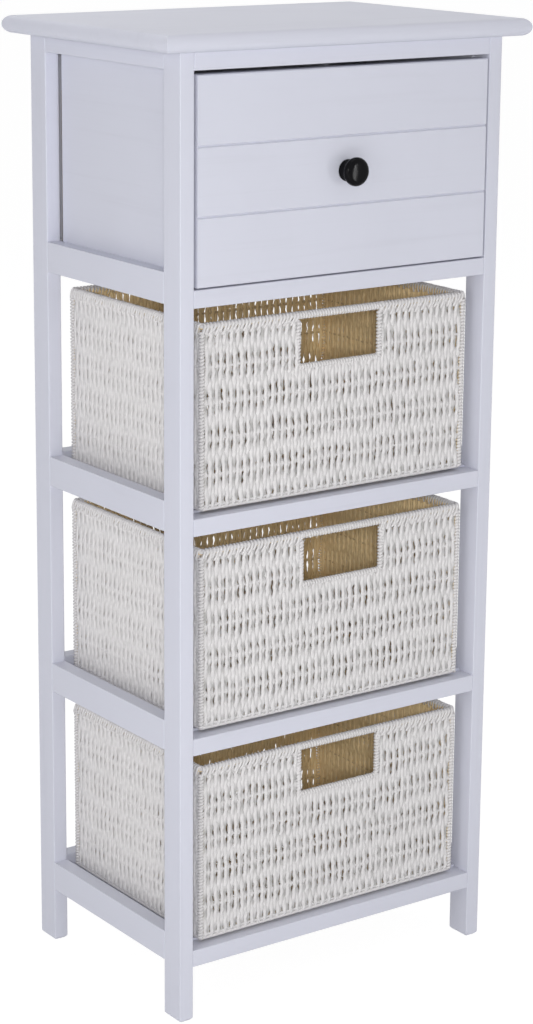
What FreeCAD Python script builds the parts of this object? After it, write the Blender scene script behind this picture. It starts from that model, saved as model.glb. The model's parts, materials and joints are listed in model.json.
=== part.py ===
"""Painted storage cabinet with one drawer over three pull-out woven baskets.

Four square posts carry five levels of rails, tenoned into the posts.  The top bay is closed by
thin panels and holds a drawer on wooden runners; the three bays below are open and hold baskets.
Millimetres; +Z up, the front faces -Y, and the origin is on the floor under the middle of the part.
"""
import FreeCAD, Part
import math
import os
import re

import Sketcher

SIZES = {
    # cabinet frame
    "frame_width": 354.0,            # over the outer faces of the posts
    "frame_depth": 248.0,            # front face to rear face of the posts
    "post_width": 14.5,
    "post_depth": 26.0,
    "foot_chamfer": 2.0,
    "leg_clear": 52.0,               # floor to the lowest front rail
    "bay_height": 188.0,             # clear height between two front rails
    "front_rail_height": 16.0,
    "front_rail_depth": 20.0,
    "side_rail_height": 28.0,
    "side_rail_rise": 2.0,           # side and rear rails start this much above the front rail
    "tenon_length": 8.0,
    "tenon_thickness": 6.0,
    "tenon_shoulder": 4.0,
    "joint_clearance": 0.1,          # all round a tenon, a panel or a screw
    # top board
    "top_thickness": 16.0,
    "top_overhang_side": 23.0,
    "top_overhang_front": 15.0,
    "top_overhang_back": 12.0,
    "top_screw_diameter": 4.0,
    "top_screw_head": 8.0,
    "top_screw_head_height": 3.0,
    "top_screw_sink_depth": 4.0,     # counterbore under the head
    "top_screw_bite": 10.0,          # length in the board
    "top_screw_inset": 50.0,         # from the inner face of the post
    "top_screw_edge": 5.0,           # from the face of the rail towards the drawer
    # thin panels round the drawer bay
    "panel_thickness": 4.0,
    "panel_lap": 8.0,                # side panel on the inner face of the top rail
    "panel_rear_gap": 4.0,           # side panel short of the rear post
    "panel_groove": 3.0,             # back panel let into the posts and rails
    "back_panel_inset": 6.0,
    # drawer
    "drawer_gap_top": 3.5,
    "drawer_gap_bottom": 1.5,
    "drawer_gap_side": 3.0,
    "drawer_front_thickness": 14.0,
    "drawer_front_proud": 1.0,
    "drawer_front_chamfer": 1.0,
    "plank_groove_width": 2.6,
    "plank_groove_depth": 1.6,
    "drawer_side_thickness": 10.0,
    "drawer_back_thickness": 10.0,
    "drawer_back_inset": 8.0,        # sides run past the back by this much
    "drawer_back_housing": 4.0,
    "drawer_front_housing": 5.0,     # sides and bottom are let into the front
    "drawer_bottom_thickness": 4.0,
    "drawer_bottom_rise": 8.0,
    "drawer_bottom_groove": 5.0,
    "drawer_rear_gap": 5.5,          # end of the drawer sides to the rear rail
    "runner_width": 20.0,
    "runner_height": 10.0,
    "runner_rise": 2.0,              # runner top above the front rail
    "runner_lip_width": 5.0,
    "runner_lip_height": 11.0,
    "slide_clearance": 0.3,          # under a sliding drawer or basket
    "guide_clearance": 0.6,          # beside a drawer side
    "kicker_width": 16.0,
    "kicker_height": 12.0,
    "kicker_drop": 22.0,             # under the top rail
    "kicker_clearance": 1.5,
    # drawer knob
    "knob_projection": 18.0,
    "knob_diameter": 26.0,
    "knob_base_diameter": 20.0,
    "knob_neck_diameter": 17.5,
    "knob_base_height": 2.5,
    "knob_rim_height": 6.0,
    "knob_rim_chamfer": 2.5,
    "knob_screw_diameter": 4.0,
    "knob_screw_head": 9.0,
    "knob_screw_head_height": 2.5,
    "knob_screw_bite": 9.0,
    # baskets
    "basket_runner_width": 24.0,
    "basket_runner_height": 12.0,
    "basket_setback": 8.0,           # rim behind the front of the posts
    "basket_side_gap": 12.0,         # rim to the inner face of a post
    "basket_rear_gap": 3.5,          # rim to the rear rail
    "basket_head_gap": 15.5,         # rim to the front rail above
    "weave_thickness": 4.0,
    "weave_corner": 6.0,
    "rim_overhang": 1.0,
    "rim_width": 10.0,
    "rim_height": 8.0,
    "rim_chamfer": 2.5,
    "handle_width": 86.0,
    "handle_height": 40.0,
    "handle_shift_upper": 3.0,       # the hand-woven openings are a little off centre
    "handle_shift_middle": 9.0,
    "handle_shift_lower": 9.0,
    "handle_corner": 4.0,
    "binding_width": 6.0,
    "binding_chamfer": 1.5,
    "edge_bar": 4.5,
    "hoop_bar": 3.0,
    "floor_bar": 2.4,
    "wire_clearance": 0.2,
}
BAY_COUNT = 4
HOOP_COUNT = 4
FLOOR_BAR_COUNT = 6
PLANK_COUNT = 3
TOLERANCE = 1e-4
LEVELS = ("bottom", "lower", "middle", "upper", "top")
TIERS = ("lower", "middle", "upper")
SIDES = (("left", -1), ("right", 1))
ALONG_Y = FreeCAD.Rotation(FreeCAD.Vector(1, 0, 0), -90)

DOCUMENT = FreeCAD.newDocument("basket_cabinet")
SHEET = DOCUMENT.addObject("Spreadsheet::Sheet", "dims")
PIECES = []

# Places that several pieces share, written as expressions on the sheet.
FRAME_MIDDLE = ("(max(top_overhang_front; drawer_front_proud + knob_projection)"
                " - top_overhang_back) / 2")
FRONT = f"({FRAME_MIDDLE} - frame_depth / 2)"
REAR = f"({FRAME_MIDDLE} + frame_depth / 2)"
INNER = "(frame_width / 2 - post_width)"
REAR_RAIL_FACE = f"({REAR} - post_width)"
FRONT_RAIL_BACK = f"({FRONT} + front_rail_depth)"
TOP_REAR_RAIL_FACE = f"({REAR} - front_rail_depth)"
SIDE_RAIL_FRONT = f"({FRONT} + post_depth)"
SIDE_RAIL_LENGTH = "(frame_depth - 2 * post_depth)"


def level(number):
    """Underside of the front rail at a level, counted from the floor."""
    return f"(leg_clear + {number} * (front_rail_height + bay_height))"


POST_TOP = f"({level(BAY_COUNT)} + front_rail_height)"
DRAWER_BAY = f"({level(BAY_COUNT)} - bay_height)"
PANEL_BOTTOM = f"({level(BAY_COUNT - 1)} + side_rail_rise + side_rail_height)"
TOP_SCREW_HEAD_SEAT = f"({level(BAY_COUNT)} + top_screw_sink_depth)"
TOP_SCREW_REACH = f"({POST_TOP} + top_screw_bite - {TOP_SCREW_HEAD_SEAT})"

# Drawer box
DRAWER_FACE = f"({FRONT} - drawer_front_proud)"
DRAWER_FRONT_BACK = f"({DRAWER_FACE} + drawer_front_thickness)"
DRAWER_FRONT_HEIGHT = "(bay_height - drawer_gap_top - drawer_gap_bottom)"
DRAWER_FRONT_BOTTOM = f"({DRAWER_BAY} + drawer_gap_bottom)"
DRAWER_SIDE_OUTER = f"({INNER} - runner_lip_width - guide_clearance)"
DRAWER_SIDE_INNER = f"({DRAWER_SIDE_OUTER} - drawer_side_thickness)"
DRAWER_SIDE_BOTTOM = f"({DRAWER_BAY} + runner_rise + slide_clearance)"
RUNNER_LIP_TOP = f"({DRAWER_BAY} + runner_rise + runner_lip_height)"
KICKER_BOTTOM = f"({level(BAY_COUNT)} - kicker_drop - kicker_height)"
DRAWER_SIDE_TOP = f"({KICKER_BOTTOM} - kicker_clearance)"
DRAWER_SIDE_FRONT = f"({DRAWER_FRONT_BACK} - drawer_front_housing)"
DRAWER_SIDE_REAR = f"({REAR_RAIL_FACE} - drawer_rear_gap)"
DRAWER_FLOOR = f"({DRAWER_SIDE_BOTTOM} + drawer_bottom_rise)"
DRAWER_BACK_REAR = f"({DRAWER_SIDE_REAR} - drawer_back_inset)"
KNOB_HEIGHT = f"({DRAWER_FRONT_BOTTOM} + {DRAWER_FRONT_HEIGHT} / 2)"

# Baskets, about their own middle
RIM_HALF_WIDTH = f"({INNER} - basket_side_gap)"
WEAVE_HALF_WIDTH = f"({RIM_HALF_WIDTH} - rim_overhang)"
RIM_FRONT = f"({FRONT} + basket_setback)"
RIM_REAR = f"({REAR_RAIL_FACE} - basket_rear_gap)"
BASKET_MIDDLE = f"(({RIM_FRONT} + {RIM_REAR}) / 2)"
RIM_HALF_DEPTH = f"(({RIM_REAR} - {RIM_FRONT}) / 2)"
WEAVE_HALF_DEPTH = f"({RIM_HALF_DEPTH} - rim_overhang)"
BASKET_SEAT = "(runner_rise + slide_clearance)"
BASKET_HEIGHT = f"(bay_height - {BASKET_SEAT} - basket_head_gap)"
WEAVE_HEIGHT = f"({BASKET_HEIGHT} - rim_height)"
HANDLE_BOTTOM = f"({WEAVE_HEIGHT} - handle_height)"
HANDLE_CUT_HALF = "(handle_width / 2 + binding_width + wire_clearance)"
BAR_INSET = "(weave_thickness + (weave_corner - weave_thickness) * (1 - sqrt(0.5)) + wire_clearance)"
BAR_X = f"({WEAVE_HALF_WIDTH} - {BAR_INSET} - edge_bar / 2)"
BAR_Y = f"({WEAVE_HALF_DEPTH} - {BAR_INSET} - edge_bar / 2)"


def basket_bottom(tier):
    """Underside of the basket in a bay, counted from the floor."""
    return f"({level(tier)} + front_rail_height + {BASKET_SEAT})"


def fill_sheet():
    """Write every driving dimension to the sheet under its own name."""
    for row, (name, size) in enumerate(SIZES.items(), 1):
        SHEET.set(f"A{row}", name)
        SHEET.set(f"B{row}", str(size))
        SHEET.setAlias(f"B{row}", name)
    DOCUMENT.recompute()


def bound(expression):
    """Point the size names in an expression at the sheet."""
    return re.sub(r"[a-z_]+", lambda word: f"dims.{word[0]}" if word[0] in SIZES else word[0],
                  str(expression))


def value(expression):
    """Present value of an expression on the sheet."""
    return float(SHEET.evalExpression(bound(expression)))


def bind(item, **expressions):
    """Tie properties to expressions; x, y and z are the item's place."""
    for name, expression in expressions.items():
        path = f"Placement.Base.{name}" if name in ("x", "y", "z") else name
        item.setExpression(path, bound(expression))
    return item


def piece(label, item):
    """Keep an item as a sub-part under its own name."""
    item.Label = label
    PIECES.append(item)
    return item


def add(kind, name):
    return DOCUMENT.addObject(kind, name)


def block(name, x, y, z):
    """Rectangular block; each direction is a lowest place and a size."""
    return bind(add("Part::Box", name), Length=x[1], Width=y[1], Height=z[1], x=x[0], y=y[0], z=z[0])


def grown(span, by):
    """A span made longer at both ends."""
    return (f"({span[0]}) - {by}", f"({span[1]}) + 2 * {by}")


def mirrored(span, side):
    """A span on the right side, or its mirror image on the left."""
    return span if side > 0 else (f"-({span[0]}) - ({span[1]})", span[1])


def both(half):
    """A span of equal reach on both sides of the middle."""
    return (f"-({half})", f"2 * ({half})")


def between(low, high):
    return (low, f"({high}) - ({low})")


def rod(name, radius, length, place, turn=FreeCAD.Rotation()):
    """Round rod from a place, along Z or turned along Y."""
    item = add("Part::Cylinder", name)
    item.Placement = FreeCAD.Placement(FreeCAD.Vector(), turn)
    return bind(item, Radius=radius, Height=length, x=place[0], y=place[1], z=place[2])


def fused(name, items):
    item = add("Part::MultiFuse", name)
    item.Shapes = items
    item.Refine = True
    return item


def grouped(name, items):
    item = add("Part::Compound", name)
    item.Links = items
    return item


def cut(name, base, tools):
    item = add("Part::Cut", name)
    item.Base = base
    item.Tool = grouped(name + "_tools", tools)
    item.Refine = True
    return item


def sketch_on(body, name, plane):
    """Empty sketch on one of the body's own origin planes."""
    sketch = body.newObject("Sketcher::SketchObject", name)
    support = next(item for item in body.Origin.OriginFeatures if item.Role == plane)
    sketch.AttachmentSupport = (support, [""])
    sketch.MapMode = "FlatFace"
    return sketch


def outline(sketch, corners, arcs=None):
    """Draw a closed outline and bind its corners to the sheet.

    corners holds pairs of expressions, anticlockwise.  arcs gives, for the number of the corner
    that a round stretch leaves, the expressions of its centre and 1 if it bulges, -1 if hollow.
    """
    arcs = arcs or {}
    points = [FreeCAD.Vector(value(u), value(v), 0) for u, v in corners]
    first = sketch.GeometryCount
    ends = []
    for number, start in enumerate(points):
        stop = points[(number + 1) % len(points)]
        if number not in arcs:
            sketch.addGeometry(Part.LineSegment(start, stop))
            ends.append((1, 2))
            continue
        centre = FreeCAD.Vector(value(arcs[number][0]), value(arcs[number][1]), 0)
        bulges = arcs[number][2] > 0
        low, high = (start, stop) if bulges else (stop, start)
        angles = [math.atan2(point.y - centre.y, point.x - centre.x) for point in (low, high)]
        circle = Part.Circle(centre, FreeCAD.Vector(0, 0, 1), (start - centre).Length)
        sketch.addGeometry(Part.ArcOfCircle(circle, *angles))
        ends.append((1, 2) if bulges else (2, 1))
    for number, (start, stop) in enumerate(ends):
        after = (number + 1) % len(ends)
        sketch.addConstraint(Sketcher.Constraint(
            "Coincident", first + number, stop, first + after, ends[after][0]))
        for axis, expression in zip("XY", corners[number]):
            hold(sketch, axis, first + number, start, expression)
        if number in arcs:
            chord = points[after] - points[number]
            axis = "X" if abs(chord.y) >= abs(chord.x) else "Y"
            hold(sketch, axis, first + number, 3, arcs[number]["XY".index(axis)])


def hold(sketch, axis, geometry, point, expression):
    """Bind one coordinate of a sketch point to an expression."""
    index = sketch.addConstraint(Sketcher.Constraint(
        "Distance" + axis, geometry, point, value(expression)))
    sketch.setExpression(f"Constraints[{index}]", bound(expression))


def rectangle(sketch, u, v):
    """Draw a rectangle; each direction is a lowest and a highest place."""
    outline(sketch, [(u[0], v[0]), (u[1], v[0]), (u[1], v[1]), (u[0], v[1])])


def round_rectangle(sketch, half_u, half_v, corner):
    """Draw a rectangle about the origin with round corners."""
    near_u, near_v = f"({half_u} - {corner})", f"({half_v} - {corner})"
    corners = [(f"-{near_u}", f"-({half_v})"), (near_u, f"-({half_v})"),
               (half_u, f"-{near_v}"), (half_u, near_v), (near_u, half_v),
               (f"-{near_u}", half_v), (f"-({half_u})", near_v), (f"-({half_u})", f"-{near_v}")]
    arcs = {1: (near_u, f"-{near_v}", 1), 3: (near_u, near_v, 1),
            5: (f"-{near_u}", near_v, 1), 7: (f"-{near_u}", f"-{near_v}", 1)}
    outline(sketch, corners, arcs)


def pad(body, sketch, length, reverse=False):
    feature = body.newObject("PartDesign::Pad", sketch.Name + "_pad")
    feature.Profile = sketch
    feature.Reversed = reverse
    bind(feature, Length=length)
    DOCUMENT.recompute()
    return feature


def pocket(body, sketch, length, reverse=False):
    """Cut from a sketch against its normal, or along it if reversed."""
    feature = body.newObject("PartDesign::Pocket", sketch.Name + "_pocket")
    feature.Profile = sketch
    feature.Reversed = reverse
    bind(feature, Length=length)
    DOCUMENT.recompute()
    return feature


def chamfered(body, base, edges, size):
    """Chamfer some edges of a feature."""
    feature = body.newObject("PartDesign::Chamfer", base.Name + "_chamfer")
    feature.Base = (base, edges)
    bind(feature, Size=size)
    DOCUMENT.recompute()
    return feature


def edges_in_plane(feature, axis, place):
    """Names of a feature's edges that lie in the plane at a place on an axis."""
    return [f"Edge{number}" for number, edge in enumerate(feature.Shape.Edges, 1)
            if all(abs(getattr(point, axis) - place) < TOLERANCE
                   for point in (edge.BoundBox.Center, edge.Vertexes[0].Point))]


def tenon_along_x(name, y, z, clearance="0"):
    """Core of a rail between two posts with its tenons, or with a clearance their mortises."""
    x = both(f"{INNER} + tenon_length")
    core_y = (f"{y[0]} + ({y[1]} - tenon_thickness) / 2", "tenon_thickness")
    core_z = (f"{z[0]} + tenon_shoulder", f"{z[1]} - 2 * tenon_shoulder")
    return block(name, grown(x, clearance), grown(core_y, clearance), grown(core_z, clearance))


def tenon_along_y(name, side, z, clearance="0"):
    """Core of a side rail with its tenons, or with a clearance their mortises."""
    core_x = (f"{INNER} + (post_width - tenon_thickness) / 2", "tenon_thickness")
    y = (f"{SIDE_RAIL_FRONT} - tenon_length", f"{SIDE_RAIL_LENGTH} + 2 * tenon_length")
    core_z = (f"{z[0]} + tenon_shoulder", f"{z[1]} - 2 * tenon_shoulder")
    return block(name, mirrored(grown(core_x, clearance), side), grown(y, clearance),
                 grown(core_z, clearance))


def rail_heights(number):
    """Heights of the side and rear rails at a level; the top ones match the front rail."""
    if number == BAY_COUNT:
        return (level(number), "front_rail_height")
    return (f"({level(number)} + side_rail_rise)", "side_rail_height")


def side_panel_run():
    """From front to back, a side panel starts at the front rails and stops short of the rear post."""
    return between(f"{FRONT_RAIL_BACK} + joint_clearance", f"{REAR} - post_depth - panel_rear_gap")


def side_panel(name, side):
    """Thin panel beside the drawer, glued inside the front post and top rail, on the runner's lip."""
    return block(name, mirrored((f"{INNER} - panel_thickness", "panel_thickness"), side),
                 side_panel_run(), between(RUNNER_LIP_TOP, f"{level(BAY_COUNT)} + panel_lap"))


def back_panel(name, clearance="0"):
    """Thin panel behind the drawer, or with a clearance the groove that holds it."""
    return block(name,
                 grown(both(f"{INNER} + panel_groove - joint_clearance"), clearance),
                 grown((f"{REAR} - back_panel_inset - panel_thickness", "panel_thickness"), clearance),
                 grown(between(f"{PANEL_BOTTOM} - panel_groove + joint_clearance",
                               f"{level(BAY_COUNT)} + panel_groove - joint_clearance"), clearance))


def build_frame():
    """Posts, rails and the thin panels round the drawer bay."""
    back_groove = back_panel("back_panel_groove", "joint_clearance")
    screw_holes = top_screw_holes()
    mortises = {"front": [], "rear": [], -1: [], 1: []}
    for number, height in enumerate(LEVELS):
        front_y = (FRONT, "front_rail_depth")
        front_z = (level(number), "front_rail_height")
        rear_z = rail_heights(number)
        is_top = number == BAY_COUNT
        rear_y = (TOP_REAR_RAIL_FACE, "front_rail_depth") if is_top else (REAR_RAIL_FACE, "post_width")
        holds_panel = number >= BAY_COUNT - 1
        for row, y, z in (("front", front_y, front_z), ("rear", rear_y, rear_z)):
            label = f"{row}_rail_{height}"
            rail = fused(label + "_blank", [block(label + "_bar", both(INNER), y, z),
                                            tenon_along_x(label + "_tenons", y, z)])
            mortises[row].append(tenon_along_x(label + "_mortise", y, z, "joint_clearance"))
            tools = [back_groove] if row == "rear" and holds_panel else []
            tools += [screw_holes[row]] if is_top else []
            piece(label, cut(label + "_cut", rail, tools) if tools else rail)
        for name, side in SIDES:
            label = f"side_rail_{name}_{height}"
            bar = block(label + "_bar", mirrored((INNER, "post_width"), side),
                        (SIDE_RAIL_FRONT, SIDE_RAIL_LENGTH), rear_z)
            rail = fused(label + "_blank", [bar, tenon_along_y(label + "_tenons", side, rear_z)])
            mortises[side].append(tenon_along_y(label + "_mortise", side, rear_z, "joint_clearance"))
            piece(label, rail)
    for row, y in (("front", FRONT), ("rear", f"{REAR} - post_depth")):
        for name, side in SIDES:
            tools = mortises[row] + mortises[side] + ([back_groove] if row == "rear" else [])
            blank = post_blank(f"post_{row}_{name}_blank", mirrored((INNER, "post_width"), side)[0], y)
            piece(f"post_{row}_{name}", cut(f"post_{row}_{name}_cut", blank, tools))
    for name, side in SIDES:
        piece(f"side_panel_{name}", side_panel(f"{name}_panel", side))
    piece("back_panel", back_panel("rear_panel"))
    piece("top_board", cut("top_board_cut", top_board_blank(), list(screw_holes.values())))
    piece("top_screws", top_screws())


def post_blank(name, x, y):
    """Square post with its foot chamfered all round."""
    body = add("PartDesign::Body", name)
    sketch = sketch_on(body, name + "_section", "XY_Plane")
    rectangle(sketch, ("0", "post_width"), ("0", "post_depth"))
    column = pad(body, sketch, POST_TOP)
    chamfered(body, column, edges_in_plane(column, "z", 0), "foot_chamfer")
    return bind(body, x=x, y=y)


def top_screw_places():
    """Names and places of the screws that hold the top board, by rail."""
    rows = (("front", f"{FRONT_RAIL_BACK} - top_screw_edge"),
            ("rear", f"{TOP_REAR_RAIL_FACE} + top_screw_edge"))
    return {row: [(f"top_screw_{row}_{name}", mirrored((f"{INNER} - top_screw_inset", "0"), side)[0], y)
                  for name, side in SIDES] for row, y in rows}


def top_screw_holes():
    """Counterbored holes up through the top rails into the board, by rail."""
    holes = {}
    for row, places in top_screw_places().items():
        rods = []
        for name, x, y in places:
            rods.append(rod(name + "_sink", "top_screw_head / 2 + joint_clearance", "top_screw_sink_depth",
                            (x, y, level(BAY_COUNT))))
            rods.append(rod(name + "_hole", "top_screw_diameter / 2 + joint_clearance",
                            f"{TOP_SCREW_REACH} + joint_clearance", (x, y, TOP_SCREW_HEAD_SEAT)))
        holes[row] = fused(f"top_screw_holes_{row}", rods)
    return holes


def top_screws():
    """Screws driven up through the top rails, as one group."""
    screws = []
    for name, x, y in sum(top_screw_places().values(), []):
        head = rod(name + "_head", "top_screw_head / 2", "top_screw_head_height",
                   (x, y, f"{TOP_SCREW_HEAD_SEAT} - top_screw_head_height"))
        shank = rod(name + "_shank", "top_screw_diameter / 2", TOP_SCREW_REACH,
                    (x, y, TOP_SCREW_HEAD_SEAT))
        screws.append(fused(name, [head, shank]))
    return grouped("top_screw_group", screws)


def bullnose_slab(name, plane, length, width, reverse):
    """Board of a given length between two full-round edges, and of a given width along them."""
    body = add("PartDesign::Body", name)
    sketch = sketch_on(body, name + "_section", plane)
    end, half = f"({length} / 2 - top_thickness / 2)", "(top_thickness / 2)"
    outline(sketch, [(f"-{end}", f"-{half}"), (end, f"-{half}"), (end, half), (f"-{end}", half)],
            {1: (end, "0", 1), 3: (f"-{end}", "0", 1)})
    pad(body, sketch, width, reverse)
    return body


def top_board_blank():
    """Top board whose full-round edges meet at mitred corners."""
    width = "(frame_width + 2 * top_overhang_side)"
    depth = "(frame_depth + top_overhang_front + top_overhang_back)"
    front, middle = f"{FRONT} - top_overhang_front", f"{POST_TOP} + top_thickness / 2"
    across = bind(bullnose_slab("top_board_front_to_back", "YZ_Plane", depth, width, False),
                  x=f"-{width} / 2", y=f"{front} + {depth} / 2", z=middle)
    along = bind(bullnose_slab("top_board_side_to_side", "XZ_Plane", width, depth, True),
                 y=front, z=middle)
    board = add("Part::Common", "top_board_blank")
    board.Base = across
    board.Tool = along
    return board


def build_runners():
    """Drawer runners, kickers on the side panels, and the strips that the baskets slide on."""
    length = between(FRONT_RAIL_BACK, REAR_RAIL_FACE)[1]
    for name, side in SIDES:
        body = add("PartDesign::Body", f"drawer_runner_{name}_body")
        sketch = sketch_on(body, f"drawer_runner_{name}_section", "XZ_Plane")
        steps = [("0", "0"), ("runner_width", "0"), ("runner_width", "runner_height"),
                 ("runner_lip_width", "runner_height"),
                 ("runner_lip_width", "runner_height + runner_lip_height"),
                 ("0", "runner_height + runner_lip_height")]
        if side > 0:
            steps = [(f"-({u})", v) for u, v in reversed(steps)]
        outline(sketch, steps)
        pad(body, sketch, length, True)
        bind(body, x=f"{side} * {INNER}", y=FRONT_RAIL_BACK, z=f"{DRAWER_BAY} + runner_rise - runner_height")
        piece(f"drawer_runner_{name}", body)
        piece(f"drawer_kicker_{name}", block(
            f"{name}_kicker",
            mirrored((f"{INNER} - panel_thickness - kicker_width", "kicker_width"), side),
            side_panel_run(), (KICKER_BOTTOM, "kicker_height")))
        for number, tier in enumerate(TIERS):
            top = f"{level(number)} + front_rail_height + runner_rise"
            piece(f"basket_runner_{tier}_{name}", block(
                f"{tier}_{name}_runner",
                mirrored((f"{INNER} - basket_runner_width", "basket_runner_width"), side),
                (FRONT_RAIL_BACK, length), (f"{top} - basket_runner_height", "basket_runner_height")))


def drawer_front_blank():
    """Plank-look drawer front: chamfered edges and V grooves along its length."""
    body = add("PartDesign::Body", "drawer_front_blank")
    sketch = sketch_on(body, "drawer_front_section", "YZ_Plane")
    height, ease, half = DRAWER_FRONT_HEIGHT, "drawer_front_chamfer", "plank_groove_width / 2"
    corners = [(ease, "0"), ("drawer_front_thickness", "0"), ("drawer_front_thickness", height),
               (ease, height), ("0", f"{height} - {ease}")]
    for number in range(PLANK_COUNT - 1, 0, -1):
        middle = f"{height} * {number} / {PLANK_COUNT}"
        corners += [("0", f"{middle} + {half}"), ("plank_groove_depth", middle), ("0", f"{middle} - {half}")]
    corners.append(("0", ease))
    outline(sketch, corners)
    pad(body, sketch, f"2 * ({INNER} - drawer_gap_side)")
    return bind(body, x=f"-({INNER} - drawer_gap_side)", y=DRAWER_FACE, z=DRAWER_FRONT_BOTTOM)


def drawer_side(name, side, clearance="0"):
    """Drawer side, or with a clearance the housing that it enters."""
    return block(name, mirrored(grown((DRAWER_SIDE_INNER, "drawer_side_thickness"), clearance), side),
                 grown(between(DRAWER_SIDE_FRONT, DRAWER_SIDE_REAR), clearance),
                 grown(between(DRAWER_SIDE_BOTTOM, DRAWER_SIDE_TOP), clearance))


def drawer_bottom(name, clearance="0"):
    """Drawer bottom, or with a clearance the groove that holds it."""
    half = f"{DRAWER_SIDE_INNER} + drawer_bottom_groove - joint_clearance"
    return block(name, grown(both(half), clearance),
                 grown(between(f"{DRAWER_SIDE_FRONT} + joint_clearance", DRAWER_BACK_REAR), clearance),
                 grown((DRAWER_FLOOR, "drawer_bottom_thickness"), clearance))


def drawer_back(name, clearance="0"):
    """Drawer back, which stands on the bottom, or its housing in the sides."""
    half = f"{DRAWER_SIDE_INNER} + drawer_back_housing - joint_clearance"
    thickness = "drawer_back_thickness"
    return block(name, grown(both(half), clearance),
                 grown((f"{DRAWER_BACK_REAR} - {thickness}", thickness), clearance),
                 between(f"{DRAWER_FLOOR} + drawer_bottom_thickness", DRAWER_SIDE_TOP))


def build_drawer():
    """Drawer box, its plank front, the knob and the knob's screw."""
    bottom_groove = drawer_bottom("drawer_bottom_groove_tool", "joint_clearance")
    back_housing = drawer_back("drawer_back_housing_tool", "joint_clearance")
    housings = [drawer_side(f"drawer_housing_{name}", side, "joint_clearance") for name, side in SIDES]
    screw_reach = "drawer_front_thickness + knob_screw_bite"
    hole = rod("knob_screw_hole", "knob_screw_diameter / 2 + joint_clearance",
               f"{screw_reach} + joint_clearance",
               ("0", f"{DRAWER_FRONT_BACK} - ({screw_reach}) - joint_clearance", KNOB_HEIGHT), ALONG_Y)
    piece("drawer_front", cut("drawer_front_cut", drawer_front_blank(), housings + [bottom_groove, hole]))
    for name, side in SIDES:
        piece(f"drawer_side_{name}", cut(f"drawer_side_{name}_cut", drawer_side(f"{name}_side", side),
                                         [bottom_groove, back_housing]))
    piece("drawer_back", drawer_back("rear_board"))
    piece("drawer_bottom", drawer_bottom("bottom_board"))
    shank = rod("knob_screw_shank", "knob_screw_diameter / 2", screw_reach,
                ("0", f"{DRAWER_FRONT_BACK} - ({screw_reach})", KNOB_HEIGHT), ALONG_Y)
    head = rod("knob_screw_disc", "knob_screw_head / 2", "knob_screw_head_height",
               ("0", DRAWER_FRONT_BACK, KNOB_HEIGHT), ALONG_Y)
    piece("knob_screw", fused("knob_screw_solid", [shank, head]))
    piece("drawer_knob", cut("drawer_knob_cut", knob_blank(), [hole]))


def knob_blank():
    """Turned knob: a foot, a waisted neck that flares into the head, and a chamfered face."""
    body = add("PartDesign::Body", "drawer_knob_blank")
    sketch = sketch_on(body, "drawer_knob_profile", "YZ_Plane")
    foot, neck, head = "knob_base_diameter / 2", "knob_neck_diameter / 2", "knob_diameter / 2"
    tip = "knob_projection"
    rim_back = f"({tip} - knob_rim_height)"
    flare_start = f"(({rim_back} + knob_base_height) / 2)"
    outline(sketch, [("0", "0"), ("0", foot), ("-knob_base_height", foot), ("-knob_base_height", neck),
                     (f"-{flare_start}", neck), (f"-{rim_back}", head),
                     (f"-({tip} - knob_rim_chamfer)", head), (f"-{tip}", f"{head} - knob_rim_chamfer"),
                     (f"-{tip}", "0")])
    turned = body.newObject("PartDesign::Revolution", "drawer_knob_turned")
    turned.Profile = sketch
    turned.ReferenceAxis = (sketch, ["H_Axis"])
    turned.Angle = 360
    DOCUMENT.recompute()
    return bind(body, y=DRAWER_FACE, z=KNOB_HEIGHT)


def place_basket(body, tier, y=BASKET_MIDDLE, rise="0"):
    """Set a basket's body at its bay."""
    return bind(body, y=y, z=f"{basket_bottom(tier)} + {rise}")


def woven_body(name, tier, shift):
    """Woven walls and floor as one shell, with the handle opening cut down from the rim."""
    body = add("PartDesign::Body", name)
    outside = sketch_on(body, name + "_outside", "XY_Plane")
    round_rectangle(outside, WEAVE_HALF_WIDTH, WEAVE_HALF_DEPTH, "weave_corner")
    pad(body, outside, WEAVE_HEIGHT)
    inside = sketch_on(body, name + "_inside", "XY_Plane")
    round_rectangle(inside, f"({WEAVE_HALF_WIDTH} - weave_thickness)",
                    f"({WEAVE_HALF_DEPTH} - weave_thickness)", "(weave_corner - weave_thickness)")
    bind(inside, **{"AttachmentOffset.Base.z": "weave_thickness"})
    pocket(body, inside, f"{WEAVE_HEIGHT} - weave_thickness", True)
    opening = sketch_on(body, name + "_opening", "XZ_Plane")
    rectangle(opening, (f"{shift} - {HANDLE_CUT_HALF}", f"{shift} + {HANDLE_CUT_HALF}"),
              (f"{HANDLE_BOTTOM} - binding_width - wire_clearance", WEAVE_HEIGHT))
    bind(opening, **{"AttachmentOffset.Base.z": WEAVE_HALF_DEPTH})
    pocket(body, opening, "weave_thickness")
    return place_basket(body, tier)


def rim_binding(name, tier):
    """Rope-bound rim all round the basket's mouth."""
    body = add("PartDesign::Body", name)
    ring = sketch_on(body, name + "_section", "XY_Plane")
    corner = "(weave_corner + rim_overhang)"
    round_rectangle(ring, RIM_HALF_WIDTH, RIM_HALF_DEPTH, corner)
    rectangle(ring, (f"-({RIM_HALF_WIDTH} - rim_width)", f"{RIM_HALF_WIDTH} - rim_width"),
              (f"-({RIM_HALF_DEPTH} - rim_width)", f"{RIM_HALF_DEPTH} - rim_width"))
    raised = pad(body, ring, "rim_height")
    chamfered(body, raised, edges_in_plane(raised, "z", value("rim_height")), "rim_chamfer")
    return place_basket(body, tier, rise=WEAVE_HEIGHT)


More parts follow.
